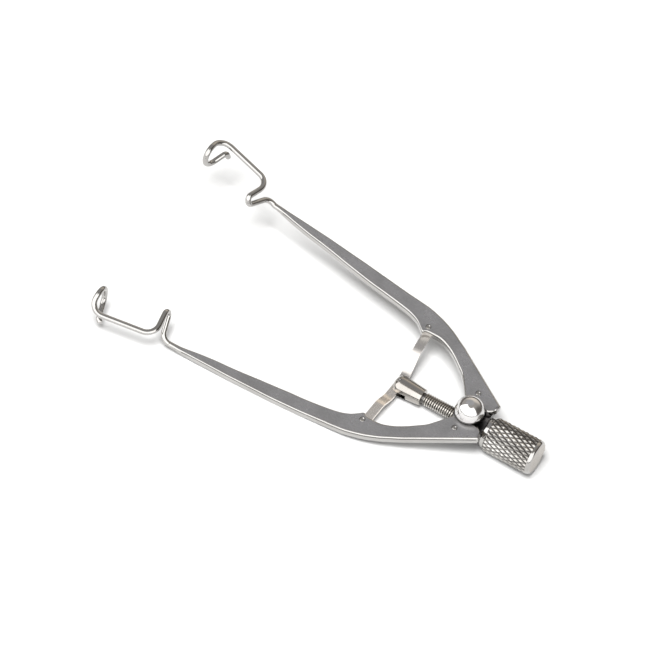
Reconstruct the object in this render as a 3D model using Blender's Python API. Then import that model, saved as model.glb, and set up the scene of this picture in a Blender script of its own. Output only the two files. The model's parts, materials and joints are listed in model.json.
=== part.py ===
"""Wire eyelid speculum with a thumb nut, about 82 mm long.

Two flat spring-steel arms pivot on a small hub and run out to bent wire blades.
A threaded spindle is drawn back through the hub by a knurled thumb nut, and two
links from its forked head swing the arms together.

Instrument axes: +X along the spindle to the blades, +Y to the left arm, +Z up.
The origin is on the spindle axis, level with the two pivots. The finished
instrument is then rolled onto the three points that it stands on.
"""

import math

import bmesh
import bpy
from mathutils import Matrix, Vector

MM = 0.001

# Fits between separate pieces
RUNNING_FIT = 0.05 * MM          # radial clearance of everything that turns or slides
PRESS_FIT = 0.03 * MM            # radial clearance round pins that stay put
LAYER_GAP = 0.05 * MM            # between flat pieces stacked on each other
EDGE_BREAK = 0.1 * MM            # chamfer on turned edges

# Thumb nut and spindle
THREAD_RADIUS = 1.25 * MM
THREAD_PITCH = 0.45 * MM         # forward travel of the spindle for one turn of the nut
TAIL_ROOM = 0.4 * MM             # left in the nut's bore when the spindle is drawn back
SPINDLE_TRAVEL = 6.24 * MM       # how far the nut draws the spindle back
FLAT_DEPTH = 0.22 * MM           # flat along the thread
FLAT_ROLL_DEG = 20.0             # the flat faces this far from straight up, to the right
NECK_LENGTH = 0.55 * MM          # undercut between thread and fork
NUT_GAP = 0.2 * MM               # open line between hub and nut
NUT_LENGTH = 10.7 * MM
NUT_RADIUS = 3.4 * MM
NUT_NOSE_RADIUS = 2.9 * MM
NUT_NOSE_LENGTH = 1.45 * MM
NUT_END_RADIUS = 2.9 * MM        # flat rear face
NUT_END_LENGTH = 0.74 * MM       # rounded edge in front of the rear face
NUT_END_WALL = 1.16 * MM         # solid behind the threaded bore
NUT_SPIGOT_RADIUS = 1.7 * MM     # journal that turns inside the hub
NUT_SPIGOT_LENGTH = 1.6 * MM

# Fork at the front of the spindle
FORK_RADIUS = 2.03 * MM          # at the nose
FORK_REAR_RADIUS = 1.7 * MM
FORK_LENGTH = 6.0 * MM
FORK_ROUND = 1.35 * MM           # rounded nose
FORK_PIN_X = 14.3 * MM           # ahead of the pivots, blades open
FORK_FRONT = 0.85 * MM           # fork ahead of its pin
FORK_SLOT_DEPTH = 2.35 * MM      # slot behind the pin
FORK_PIN_RADIUS = 0.4 * MM

# Links between the fork and the arms
LINK_THICK = 0.5 * MM
LINK_WIDTH = 1.7 * MM
LINK_EYE_SLIDE = 0.69 * MM       # length of the slot for the fork pin
LINK_EYE_PLAY = 0.14 * MM        # side play in that slot
LINK_LEVEL = 2.9 * MM            # level stretch from the fork pin outward
LINK_RAMP = 3.6 * MM             # stretch in which the link climbs to the arm

# Arms
ARM_TOP = 3.8 * MM               # height of the flat arm faces above the spindle axis
ARM_THICK = 1.8 * MM
ARM_EDGE = 0.28 * MM             # rounded edges
PIVOT_Y = 4.2 * MM
PIVOT_PIN_RADIUS = 0.5 * MM
RIVET_X = 15.05 * MM
RIVET_Y = 11.43 * MM
RIVET_RADIUS = 0.45 * MM
RIVET_HEAD_RADIUS = 0.85 * MM
RIVET_HEAD_THICK = 0.4 * MM
BAR_END_X = 52.5 * MM            # where the flat bar has drawn down to round wire
BAR_END_Y = 17.67 * MM
BAR_END_RISE = 2.29 * MM         # centre of the wire there, above the flat arm faces
BOSS_REACH = 2.6 * MM            # arm metal inward of the pivot, below the dome
PIN_STAND = 0.03 * MM            # pins and rivets stand this far out of the arm

# Hub and dome
HUB_REAR = 4.1 * MM
HUB_FRONT = 2.1 * MM
HUB_PIVOT_WALL = 0.4 * MM        # metal outside each pivot pin
HUB_TAIL_HALF_WIDTH = 3.3 * MM
HUB_PLATE = 1.25 * MM
HUB_BARREL_RADIUS = 2.2 * MM
HUB_EDGE = 0.15 * MM
HUB_CORNER = 0.5 * MM
DOME_RADIUS = 2.75 * MM
DOME_X = -0.7 * MM
DOME_LIFT = 0.75 * MM            # sphere centre above the arm faces
DOME_GAP = 0.15 * MM             # between the dome's rim and the arm faces
POST_CLEARANCE = 0.4 * MM        # between the dome's post and the two arms
POST_DEPTH = 0.45 * MM           # post inside the hub plate

# Wire blades
WIRE_RADIUS = 0.425 * MM
CORNERS = 16                     # points round the arm and wire sections
WIRE_STEP_DEG = 15.0             # facet angle in the wire's bends

ROUND = 40                       # facets round turned pieces
PIN_ROUND = 20

# Length of one unit in the three tables of the arm's shape
SHAPE_UNIT = 1.0 * MM

# Rear lever of the arm. Offsets run along and to the outside of the line from
# pivot to rivet: outer edge along, outer edge out, inner edge along, inner edge out.
LEVER_STATIONS = (
    (-4.51, 1.94, -4.79, 0.45),
    (-3.70, 2.02, -4.15, -0.72),
    (-2.40, 2.14, -3.38, -1.22),
    (-1.20, 2.26, -2.04, -1.90),
    (0.10, 2.38, -0.67, -2.51),
    (1.20, 2.49, 0.20, -2.60),
    (2.30, 2.59, 0.75, -2.40),
    (3.40, 2.70, 1.90, -1.82),
    (4.60, 2.82, 3.52, -1.00),
    (6.00, 2.95, 5.08, -0.31),
    (7.80, 3.13, 6.95, 0.11),
    (9.45, 3.29, 8.92, 0.48),
    (11.15, 3.36, 10.77, 0.64),
    (12.98, 3.46, 12.52, 0.56),
    (14.20, 3.44, 13.73, 0.30),
    (15.40, 3.38, 15.01, -0.26),
    (16.57, 3.27, 16.15, -0.88),
)

# Long bar of the arm, from the rivet to the wire: share of the way and offset of the
# outer edge, the same for the inner edge, then the height of the top face.
BAR_STATIONS = (
    (0.026, 3.34, 0.006, -1.52, 0.0),
    (0.066, 3.43, 0.030, -1.05, 0.0),
    (0.100, 3.38, 0.062, -0.42, 0.0),
    (0.136, 3.32, 0.100, -0.05, 0.0),
    (0.172, 3.22, 0.144, 0.12, 0.03),
    (0.215, 3.13, 0.221, 0.13, 0.08),
    (0.294, 2.98, 0.297, 0.07, 0.20),
    (0.372, 2.80, 0.376, -0.07, 0.42),
    (0.451, 2.60, 0.453, -0.11, 0.68),
    (0.528, 2.33, 0.531, -0.16, 0.98),
    (0.608, 2.06, 0.607, -0.15, 1.30),
    (0.684, 1.80, 0.683, -0.20, 1.60),
    (0.762, 1.46, 0.762, -0.32, 1.92),
    (0.838, 1.14, 0.837, -0.34, 2.20),
    (0.913, 0.79, 0.919, -0.30, 2.44),
)

# Bends of the blade wire, left blade, measured from the end of the bar: forward,
# outward, up, and the radius that the wire takes round the bend.
WIRE_BENDS = (
    (1.50, 0.33, 0.81, 1.90),
    (3.00, -4.17, 3.26, 0.60),
    (3.45, -3.57, 4.76, 0.90),
    (2.05, 1.73, 3.66, 2.45),
    (14.45, 4.48, 5.61, 2.30),
    (14.30, -0.92, 7.60, 1.20),
    (14.75, -0.67, 2.46, 1.60),
    (13.00, 3.73, 2.71, 0.40),
    (12.75, 3.78, 1.75, 0.00),
)

# Levels and places that follow from the sizes above
ARM_UNDER = ARM_TOP - ARM_THICK
HUB_TOP = ARM_UNDER - LAYER_GAP
LINK_TOP = ARM_UNDER - LAYER_GAP
THREAD_DEPTH = 0.61 * THREAD_PITCH
NECK_RADIUS = THREAD_RADIUS - THREAD_DEPTH
BORE_RADIUS = THREAD_RADIUS + RUNNING_FIT
FORK_TIP_X = FORK_PIN_X + FORK_FRONT
FORK_REAR_X = FORK_TIP_X - FORK_LENGTH
NUT_FRONT_X = -HUB_REAR - NUT_GAP
NUT_REAR_X = NUT_FRONT_X - NUT_LENGTH
NUT_BORE_END_X = NUT_REAR_X + NUT_END_WALL
# Drawn back all the way, the spindle's tail stays TAIL_ROOM short of the bore's end
SPINDLE_TAIL = -NUT_BORE_END_X - TAIL_ROOM - SPINDLE_TRAVEL
POST_RADIUS = PIVOT_Y - BOSS_REACH - POST_CLEARANCE
PIN_TOP = ARM_TOP + PIN_STAND
LINK_LENGTH = math.hypot(RIVET_X - FORK_PIN_X, RIVET_Y)
FORK_PIN_HALF = FORK_RADIUS - 2 * EDGE_BREAK
FORK_SLOT_HALF = LINK_THICK + 0.5 * LAYER_GAP + 2 * RUNNING_FIT


def clear_scene():
    for obj in list(bpy.data.objects):
        bpy.data.objects.remove(obj, do_unlink=True)


def steel(name, color, roughness):
    material = bpy.data.materials.new(name)
    material.use_nodes = True
    shader = material.node_tree.nodes["Principled BSDF"]
    shader.inputs["Base Color"].default_value = (*color, 1.0)
    shader.inputs["Metallic"].default_value = 1.0
    shader.inputs["Roughness"].default_value = roughness
    return material


def finish(name, bm, origin, parent, material, sharp_deg=35.0):
    """Turn a bmesh in instrument coordinates into an object with its origin on its joint."""
    bmesh.ops.recalc_face_normals(bm, faces=bm.faces)
    bmesh.ops.translate(bm, verts=bm.verts, vec=-origin)
    mesh = bpy.data.meshes.new(name)
    bm.to_mesh(mesh)
    bm.free()
    mesh.shade_smooth()
    mesh.set_sharp_from_angle(angle=math.radians(sharp_deg))
    mesh.materials.append(material)
    obj = bpy.data.objects.new(name, mesh)
    bpy.context.scene.collection.objects.link(obj)
    obj.parent = parent
    obj.location = origin
    return obj


def turned(profile, axis="X", center=(0.0, 0.0), facets=ROUND):
    """Spin (along, radius) points about an axis; points at radius 0 close the ends."""
    bm = bmesh.new()
    rings = []
    for along, radius in profile:
        ring = []
        count = 1 if radius == 0.0 else facets
        for k in range(count):
            turn = 2.0 * math.pi * k / facets
            a = radius * math.cos(turn)
            b = radius * math.sin(turn)
            if axis == "X":
                ring.append(bm.verts.new((along, center[0] + a, center[1] + b)))
            else:
                ring.append(bm.verts.new((center[0] + a, center[1] + b, along)))
        rings.append(ring)
    for low, high in zip(rings, rings[1:]):
        for k in range(facets):
            n = (k + 1) % facets
            if len(low) == 1:
                bm.faces.new((low[0], high[k], high[n]))
            elif len(high) == 1:
                bm.faces.new((low[k], high[0], low[n]))
            else:
                bm.faces.new((low[k], low[n], high[n], high[k]))
    return bm


def disc_profile(start, end, radius, edge=0.0):
    """Profile of a plain cylinder with chamfered ends."""
    if edge == 0.0:
        return [(start, 0.0), (start, radius), (end, radius), (end, 0.0)]
    return [(start, 0.0), (start, radius - edge), (start + edge, radius),
            (end - edge, radius), (end, radius - edge), (end, 0.0)]


def plate(outline, bottom, top):
    """Flat plate: an outline in the XY plane, extruded upward."""
    bm = bmesh.new()
    face = bm.faces.new([bm.verts.new((x, y, bottom)) for x, y in outline])
    raised = bmesh.ops.extrude_face_region(bm, geom=[face])
    lifted = [v for v in raised["geom"] if isinstance(v, bmesh.types.BMVert)]
    bmesh.ops.translate(bm, verts=lifted, vec=(0.0, 0.0, top - bottom))
    return bm


def cut(obj, cutter_bm, operation="DIFFERENCE"):
    """Boolean one closed bmesh, given in instrument coordinates, with an object."""
    origin = obj.location
    name = obj.name + "_cutter_" + str(len(obj.modifiers) + 1)
    bmesh.ops.recalc_face_normals(cutter_bm, faces=cutter_bm.faces)
    bmesh.ops.translate(cutter_bm, verts=cutter_bm.verts, vec=-origin)
    mesh = bpy.data.meshes.new(name)
    cutter_bm.to_mesh(mesh)
    cutter_bm.free()
    cutter = bpy.data.objects.new(name, mesh)
    bpy.context.scene.collection.objects.link(cutter)
    cutter.parent = obj
    cutter.hide_render = True
    cutter.display_type = "WIRE"
    modifier = obj.modifiers.new(name, "BOOLEAN")
    modifier.operation = operation
    modifier.object = cutter


def section(outer, inner, top, thick, edge, up):
    """Ring of points round a rounded rectangle between two edge points of a bar."""
    across = (outer - inner).normalized()
    width = (outer - inner).length
    middle = (outer + inner) * 0.5 + up * (top - 0.5 * thick)
    edge = min(edge, 0.5 * width, 0.5 * thick)
    ring = []
    per_corner = CORNERS // 4
    for corner, (sx, sz) in enumerate(((1, 1), (-1, 1), (-1, -1), (1, -1))):
        hub = middle + across * (sx * (0.5 * width - edge)) + up * (sz * (0.5 * thick - edge))
        for k in range(per_corner):
            turn = math.radians(90.0 * corner + 90.0 * (k + 0.5) / per_corner)
            ring.append(hub + across * (edge * math.cos(turn)) + up * (edge * math.sin(turn)))
    return ring


def bend_path(points, radii):
    """Centre line through straight runs joined by round bends, with its directions."""
    path = [points[0]]
    for before, corner, after, radius in zip(points, points[1:], points[2:], radii):
        back = (before - corner).normalized()
        ahead = (after - corner).normalized()
        turn = math.pi - back.angle(ahead)
        reach = radius * math.tan(0.5 * turn)
        start = corner + back * reach
        hub = corner + (back + ahead).normalized() * (radius / math.cos(0.5 * turn))
        axis = back.cross(ahead).normalized()
        steps = max(2, math.ceil(math.degrees(turn) / WIRE_STEP_DEG))
        for k in range(steps + 1):
            swing = Matrix.Rotation(-turn * k / steps, 3, axis)
            path.append(hub + swing @ (start - hub))
    path.append(points[-1])
    return path


def sweep_rings(path, ring):
    """Carry a ring of points along a path, turning it only as the path bends."""
    rings = []
    heading = (path[1] - path[0]).normalized()
    offsets = [p - path[0] for p in ring]
    for i in range(1, len(path)):
        arrive = (path[i] - path[i - 1]).normalized()
        leave = (path[i + 1] - path[i]).normalized() if i + 1 < len(path) else arrive
        tangent = (arrive + leave).normalized()
        turn = heading.rotation_difference(tangent)
        offsets = [turn @ v for v in offsets]
        heading = tangent
        rings.append([path[i] + v for v in offsets])
    return rings


def edge_points():
    """Outer and inner edge points of the left arm, and the height of its top face."""
    pivot = Vector((0.0, PIVOT_Y, 0.0))
    rivet = Vector((RIVET_X, RIVET_Y, 0.0))
    bar_end = Vector((BAR_END_X, BAR_END_Y, 0.0))
    along = (rivet - pivot).normalized()
    out = Vector((-along.y, along.x, 0.0))
    stations = []
    for outer_s, outer_n, inner_s, inner_n in LEVER_STATIONS:
        outer = pivot + (along * outer_s + out * outer_n) * SHAPE_UNIT
        inner = pivot + (along * inner_s + out * inner_n) * SHAPE_UNIT
        stations.append((outer, inner, 0.0))
    bar = bar_end - rivet
    out = Vector((-bar.y, bar.x, 0.0)).normalized()
    for outer_s, outer_n, inner_s, inner_n, rise in BAR_STATIONS:
        outer = rivet + bar * outer_s + out * outer_n * SHAPE_UNIT
        inner = rivet + bar * inner_s + out * inner_n * SHAPE_UNIT
        stations.append((outer, inner, rise * SHAPE_UNIT))
    return stations


def make_arm(name, side, parent, material):
    """Flat bar that narrows to round wire and is bent into the blade, as one loft."""
    up = Vector((0.0, 0.0, 1.0))
    stations = edge_points()
    rings = []
    first_outer, first_inner, _ = stations[0]
    across = (first_outer - first_inner).normalized()
    rearward = Vector((-across.y, across.x, 0.0))
    for turn_deg in (0.0, 35.0, 65.0):
        turn = math.radians(turn_deg)
        inset = ARM_EDGE * (1.0 - math.sin(turn))
        shift = rearward * (-ARM_EDGE * (1.0 - math.cos(turn)))
        rings.append(section(first_outer + shift - across * inset,
                             first_inner + shift + across * inset,
                             ARM_TOP - inset, ARM_THICK - 2 * inset, ARM_EDGE - inset * 0.9, up))
    last = len(BAR_STATIONS) + len(LEVER_STATIONS)
    narrowing = last - 6
    for i, (outer, inner, rise) in enumerate(stations):
        if i == 0:
            continue
        blend = max(0.0, (i - narrowing) / (last - narrowing))
        thick = ARM_THICK + (2 * WIRE_RADIUS - ARM_THICK) * blend
        edge = ARM_EDGE + (WIRE_RADIUS - ARM_EDGE) * blend
        rings.append(section(outer, inner, ARM_TOP + rise, thick, edge, up))

    # Round wire from here on
    start = Vector((BAR_END_X, BAR_END_Y, ARM_TOP + BAR_END_RISE))
    points = [start] + [start + Vector((x, y, z)) * SHAPE_UNIT for x, y, z, _ in WIRE_BENDS]
    radii = [radius * SHAPE_UNIT for _, _, _, radius in WIRE_BENDS]
    path = bend_path(points, radii)
    heading = (path[1] - path[0]).normalized()
    across = up.cross(heading).normalized()
    wire_up = heading.cross(across)
    flat_start = start + across * WIRE_RADIUS
    first = section(flat_start, start - across * WIRE_RADIUS,
                    WIRE_RADIUS, 2 * WIRE_RADIUS, WIRE_RADIUS, wire_up)
    rings.append(first)
    rings.extend(sweep_rings(path, first))

    # Rounded tip
    tip = path[-1]
    tangent = (path[-1] - path[-2]).normalized()
    base = [p - tip for p in rings[-1]]
    for turn_deg in (35.0, 65.0):
        turn = math.radians(turn_deg)
        rings.append([tip + tangent * (0.6 * WIRE_RADIUS * math.sin(turn)) + v * math.cos(turn)
                      for v in base])

    bm = bmesh.new()
    loops = [[bm.verts.new((p.x, side * p.y, p.z)) for p in ring] for ring in rings]
    for low, high in zip(loops, loops[1:]):
        for k in range(CORNERS):
            n = (k + 1) % CORNERS
            bm.faces.new((low[k], low[n], high[n], high[k]))
    bm.faces.new(loops[0])
    bm.faces.new(loops[-1])
    bmesh.ops.triangulate(bm, faces=[f for f in bm.faces if len(f.verts) == 4])

    arm = finish(name, bm, Vector((0.0, side * PIVOT_Y, ARM_UNDER)), parent, material)
    below = ARM_UNDER - ARM_THICK
    above = ARM_TOP + ARM_THICK
    cut(arm, turned(disc_profile(below, above, PIVOT_PIN_RADIUS + RUNNING_FIT),
                    "Z", (0.0, side * PIVOT_Y), PIN_ROUND))
    cut(arm, turned(disc_profile(below, above, RIVET_RADIUS + PRESS_FIT),
                    "Z", (RIVET_X, side * RIVET_Y), PIN_ROUND))
    return arm


def make_hub(parent, material):
    """Plate under both arms with a barrel for the spindle below it."""
    half = PIVOT_Y + PIVOT_PIN_RADIUS + HUB_PIVOT_WALL
    shoulder = PIVOT_PIN_RADIUS + HUB_PIVOT_WALL
    rear = -HUB_REAR + HUB_EDGE
    front = HUB_FRONT - HUB_EDGE
    outline = ((rear, -HUB_TAIL_HALF_WIDTH), (-shoulder, -half), (front, -half),
               (front, half), (-shoulder, half), (rear, HUB_TAIL_HALF_WIDTH))
    bm = plate(outline, HUB_TOP - HUB_PLATE, HUB_TOP)
    corners = [e for e in bm.edges if abs(e.verts[0].co.z - e.verts[1].co.z) > 0.5 * HUB_PLATE]
    bmesh.ops.bevel(bm, geom=corners, offset=HUB_CORNER, segments=3, profile=0.5,
                    affect="EDGES", clamp_overlap=True)
    hub = finish("hub_block", bm, Vector((0.0, 0.0, 0.0)), parent, material)
    cut(hub, turned(disc_profile(-HUB_REAR, HUB_FRONT, HUB_BARREL_RADIUS, HUB_EDGE)), "UNION")
    wide = 2 * (HUB_REAR + half)
    cut(hub, plate(((-wide, -wide), (wide, -wide), (wide, wide), (-wide, wide)), HUB_TOP, wide))
    spigot_end = NUT_FRONT_X + NUT_SPIGOT_LENGTH + RUNNING_FIT
    spigot_bore = NUT_SPIGOT_RADIUS + RUNNING_FIT
    bore = [(-2 * HUB_REAR, 0.0), (-2 * HUB_REAR, spigot_bore), (spigot_end, spigot_bore),
            (spigot_end, BORE_RADIUS), (2 * HUB_FRONT, BORE_RADIUS), (2 * HUB_FRONT, 0.0)]
    cut(hub, turned(bore))
    for side in (1, -1):
        cut(hub, turned(disc_profile(HUB_TOP - 2 * HUB_PLATE, HUB_TOP + HUB_PLATE,
                                     PIVOT_PIN_RADIUS + PRESS_FIT),
                        "Z", (0.0, side * PIVOT_Y), PIN_ROUND))
    cut(hub, turned(disc_profile(HUB_TOP - POST_DEPTH - LAYER_GAP, HUB_TOP + HUB_PLATE,
                                 POST_RADIUS + PRESS_FIT), "Z", (DOME_X, 0.0), PIN_ROUND))
    return hub


def make_dome(parent, material):
    """Polished cap over the inner edges of both arms, on a post in the hub."""
    center = ARM_TOP + DOME_LIFT
    rim = ARM_TOP + DOME_GAP
    low_turn = math.asin((rim - center) / DOME_RADIUS)
    profile = [(HUB_TOP - POST_DEPTH, 0.0), (HUB_TOP - POST_DEPTH, POST_RADIUS), (rim, POST_RADIUS)]
    steps = 14
    for k in range(steps):
        turn = low_turn + (0.5 * math.pi - low_turn) * k / steps
        profile.append((center + DOME_RADIUS * math.sin(turn), DOME_RADIUS * math.cos(turn)))
    profile.append((center + DOME_RADIUS, 0.0))
    return finish("dome", turned(profile, "Z", (DOME_X, 0.0)),
                  Vector((DOME_X, 0.0, rim)), parent, material)


def make_pin(name, x, y, bottom, top, radius, parent, material):
    bm = turned(disc_profile(bottom, top, radius, 0.2 * radius), "Z", (x, y), PIN_ROUND)
    return finish(name, bm, Vector((x, y, bottom)), parent, material)


def make_rivet(name, side, parent, material):
    """Rivet through link and arm, with its head under the link."""
    head_top = LINK_TOP - LINK_THICK - LAYER_GAP
    head_bottom = head_top - RIVET_HEAD_THICK
    profile = [(head_bottom, 0.0), (head_bottom, 0.75 * RIVET_HEAD_RADIUS),
               (head_bottom + 0.5 * RIVET_HEAD_THICK, RIVET_HEAD_RADIUS),
               (head_top, RIVET_HEAD_RADIUS), (head_top, RIVET_RADIUS),
               (PIN_TOP - 0.2 * RIVET_RADIUS, RIVET_RADIUS),
               (PIN_TOP, 0.8 * RIVET_RADIUS), (PIN_TOP, 0.0)]
    bm = turned(profile, "Z", (RIVET_X, side * RIVET_Y), PIN_ROUND)
    return finish(name, bm, Vector((RIVET_X, side * RIVET_Y, LINK_TOP)), parent, material)


def make_spindle(parent, material):
    """Threaded rod with a flat along its top and a slotted, round-nosed fork."""
    profile = [(-SPINDLE_TAIL, 0.0), (-SPINDLE_TAIL, NECK_RADIUS),
               (-SPINDLE_TAIL + THREAD_DEPTH, THREAD_RADIUS),
               (FORK_REAR_X - NECK_LENGTH, THREAD_RADIUS),
               (FORK_REAR_X - NECK_LENGTH, NECK_RADIUS), (FORK_REAR_X, NECK_RADIUS),
               (FORK_REAR_X, FORK_REAR_RADIUS - EDGE_BREAK),
               (FORK_REAR_X + EDGE_BREAK, FORK_REAR_RADIUS)]
    steps = 7
    for k in range(steps + 1):
        turn = math.radians(90.0) * k / steps
        profile.append((FORK_TIP_X - FORK_ROUND * (1.0 - math.sin(turn)),
                        FORK_RADIUS - FORK_ROUND * (1.0 - math.cos(turn))))
    profile.append((FORK_TIP_X, 0.0))
    spindle = finish("spindle", turned(profile), Vector((0.0, 0.0, 0.0)), parent, material)
    reach = 2 * FORK_RADIUS
    flat_end = FORK_REAR_X - NECK_LENGTH
    flat = plate(((-SPINDLE_TAIL - reach, -reach), (flat_end, -reach), (flat_end, reach),
                  (-SPINDLE_TAIL - reach, reach)), THREAD_RADIUS - FLAT_DEPTH, reach)
    bmesh.ops.rotate(flat, verts=flat.verts, cent=(0.0, 0.0, 0.0),
                     matrix=Matrix.Rotation(math.radians(FLAT_ROLL_DEG), 3, "X"))
    cut(spindle, flat)
    slot_rear = FORK_PIN_X - FORK_SLOT_DEPTH
    cut(spindle, plate(((slot_rear, -reach), (FORK_TIP_X + reach, -reach),
                        (FORK_TIP_X + reach, reach), (slot_rear, reach)),
                       -FORK_SLOT_HALF, FORK_SLOT_HALF))
    cut(spindle, turned(disc_profile(-reach, reach, FORK_PIN_RADIUS + PRESS_FIT),
                        "Z", (FORK_PIN_X, 0.0), PIN_ROUND))
    return spindle


def make_thumb_nut(parent, material):
    """Turned nut with a tapered nose, a journal in the hub and a blind bore."""
    spigot_front = NUT_FRONT_X + NUT_SPIGOT_LENGTH
    profile = [(NUT_REAR_X, 0.0)]
    steps = 5
    for k in range(steps + 1):
        turn = math.radians(90.0) * k / steps
        profile.append((NUT_REAR_X + NUT_END_LENGTH * (1.0 - math.cos(turn)),
                        NUT_END_RADIUS + (NUT_RADIUS - NUT_END_RADIUS) * math.sin(turn)))
    profile += [(NUT_FRONT_X - NUT_NOSE_LENGTH, NUT_RADIUS), (NUT_FRONT_X, NUT_NOSE_RADIUS),
                (NUT_FRONT_X, NUT_SPIGOT_RADIUS), (spigot_front, NUT_SPIGOT_RADIUS),
                (spigot_front, BORE_RADIUS), (NUT_BORE_END_X, BORE_RADIUS),
                (NUT_BORE_END_X, 0.0)]
    return finish("thumb_nut", turned(profile), Vector((NUT_FRONT_X, 0.0, 0.0)), parent, material)


def make_link(name, side, low, parent, material):
    """Strip from the fork pin to the arm's rivet, level, then an S ramp, then level."""
    across = Vector((RIVET_X - FORK_PIN_X, side * RIVET_Y, 0.0)).normalized()
    sideways = Vector((-across.y, across.x, 0.0))
    pin = Vector((FORK_PIN_X, 0.0, 0.0))
    half = 0.5 * LINK_WIDTH
    climb = LINK_TOP - LINK_THICK - low

    # Shape along the link: distance from the pin, half width, height of the underside
    cells = []
    end_steps = 8
    for k in range(end_steps + 1):
        turn = math.radians(90.0) * k / end_steps
        cells.append((-half * math.cos(turn), half * math.sin(turn), low))
    cells.append((LINK_LEVEL, half, low))
    ramp_steps = 10
    for k in range(1, ramp_steps + 1):
        share = k / ramp_steps
        ease = share * share * (3.0 - 2.0 * share)
        cells.append((LINK_LEVEL + LINK_RAMP * share, half, low + climb * ease))
    for k in range(end_steps + 1):
        turn = math.radians(90.0) * (1.0 - k / end_steps)
        cells.append((LINK_LENGTH + half * math.cos(turn), half * math.sin(turn), low + climb))

    bm = bmesh.new()
    rows = []
    for distance, width, height in cells:
        middle = pin + across * distance
        row = []
        offsets = (0.0,) if width < 1e-9 else (width, -width)
        for z in (height, height + LINK_THICK):
            row.append([bm.verts.new(middle + sideways * s + Vector((0.0, 0.0, z)))
                        for s in offsets])
        rows.append(row)
    for row, nxt in zip(rows, rows[1:]):
        for level in (0, 1):
            face = []
            for vert in row[level] + nxt[level][::-1]:
                face.append(vert)
            bm.faces.new(face)
        for s in (0, -1):
            bm.faces.new((row[0][s], nxt[0][s], nxt[1][s], row[1][s]))
    bmesh.ops.triangulate(bm, faces=bm.faces)
    link = finish(name, bm, Vector((RIVET_X, side * RIVET_Y, LINK_TOP)), parent, material)

    # Slotted eye for the fork pin, and a round eye for the rivet
    slot_half = FORK_PIN_RADIUS + LINK_EYE_PLAY
    slot = []
    slot_steps = 8
    for k in range(slot_steps + 1):
        turn = math.radians(90.0 + 180.0 * k / slot_steps)
        slot.append(pin + across * (slot_half * math.cos(turn))
                    + sideways * (slot_half * math.sin(turn)))
    for k in range(slot_steps + 1):
        turn = math.radians(-90.0 + 180.0 * k / slot_steps)
        slot.append(pin + across * (LINK_EYE_SLIDE + slot_half * math.cos(turn))
                    + sideways * (slot_half * math.sin(turn)))
    cut(link, plate([(p.x, p.y) for p in slot], low - LINK_THICK, low + 2 * LINK_THICK))
    cut(link, turned(disc_profile(LINK_TOP - 2 * LINK_THICK, LINK_TOP + LINK_THICK,
                                  RIVET_RADIUS + RUNNING_FIT),
                     "Z", (RIVET_X, side * RIVET_Y), PIN_ROUND))
    return link


def world_points(objects):
    bpy.context.view_layer.update()
    return [obj.matrix_world @ v.co for obj in objects for v in obj.data.vertices]


def center_of_mass(objects):
    """Volume centre of all solids, from signed tetrahedra."""
    total = 0.0
    moment = Vector((0.0, 0.0, 0.0))
    for obj in objects:
        obj.data.calc_loop_triangles()
        place = obj.matrix_world
        points = [place @ v.co for v in obj.data.vertices]
        for tri in obj.data.loop_triangles:
            a, b, c = (points[i] for i in tri.vertices)
            volume = a.dot(b.cross(c)) / 6.0
            total += volume
            moment += (a + b + c) * (0.25 * volume)
    return moment / total


def settle(root, objects, side_arm):
    """Lay the instrument on spindle, nut and one arm: the hull facet that it rests on."""
    bpy.context.view_layer.update()
    center = center_of_mass(objects)
    bm = bmesh.new()
    piece = bm.verts.layers.int.new("piece")
    for i, obj in enumerate(objects):
        for v in obj.data.vertices:
            bm.verts.new(obj.matrix_world @ v.co)[piece] = i
    bmesh.ops.convex_hull(bm, input=bm.verts, use_existing_faces=False)
    bmesh.ops.delete(bm, geom=[v for v in bm.verts if not v.link_faces], context="VERTS")
    bmesh.ops.recalc_face_normals(bm, faces=bm.faces)
    down = Vector((0.0, 0.0, -1.0))
    best = None
    for face in bm.faces:
        touches = any(objects[v[piece]] == side_arm for v in face.verts)
        if not touches or face.normal.dot(down) < 0.8:
            continue
        foot = center + face.normal * (face.verts[0].co - center).dot(face.normal)
        corners = [v.co for v in face.verts]
        margin = min((b - a).normalized().cross(foot - a).dot(face.normal)
                     for a, b in zip(corners, corners[1:] + corners[:1]))
        if best is None or margin > best[0]:
            best = (margin, face.normal.copy())
    bm.free()
    root.matrix_world = best[1].rotation_difference(down).to_matrix().to_4x4()
    points = world_points(objects)
    low = [min(p[i] for p in points) for i in range(3)]
    high = [max(p[i] for p in points) for i in range(3)]
    root.location = (-0.5 * (low[0] + high[0]), -0.5 * (low[1] + high[1]), -low[2])
    bpy.context.view_layer.update()


def build():
    clear_scene()
    satin = steel("satin_steel", (0.42, 0.41, 0.39), 0.38)
    polished = steel("polished_steel", (0.62, 0.60, 0.57), 0.12)
    knurled = steel("knurled_steel", (0.45, 0.44, 0.42), 0.30)

    root = bpy.data.objects.new("instrument", None)
    bpy.context.scene.collection.objects.link(root)
    make_hub(root, satin)
    make_dome(root, polished)
    make_spindle(root, polished)
    make_thumb_nut(root, knurled)
    make_pin("clevis_pin", FORK_PIN_X, 0.0, -FORK_PIN_HALF, FORK_PIN_HALF,
             FORK_PIN_RADIUS, root, polished)
    levels = {"left": 0.5 * LAYER_GAP + 0.5 * RUNNING_FIT,
              "right": -0.5 * LAYER_GAP - 0.5 * RUNNING_FIT - LINK_THICK}
    for word, side in (("left", 1), ("right", -1)):
        make_arm(word + "_arm", side, root, satin)
        make_pin(word + "_pivot_pin", 0.0, side * PIVOT_Y, HUB_TOP - HUB_PLATE, PIN_TOP,
                 PIVOT_PIN_RADIUS, root, polished)
        make_rivet(word + "_link_rivet", side, root, polished)
        make_link(word + "_link", side, levels[word], root, polished)
    solids = [o for o in bpy.data.objects if o.type == "MESH" and not o.hide_render]
    settle(root, solids, bpy.data.objects["left_arm"])


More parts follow.
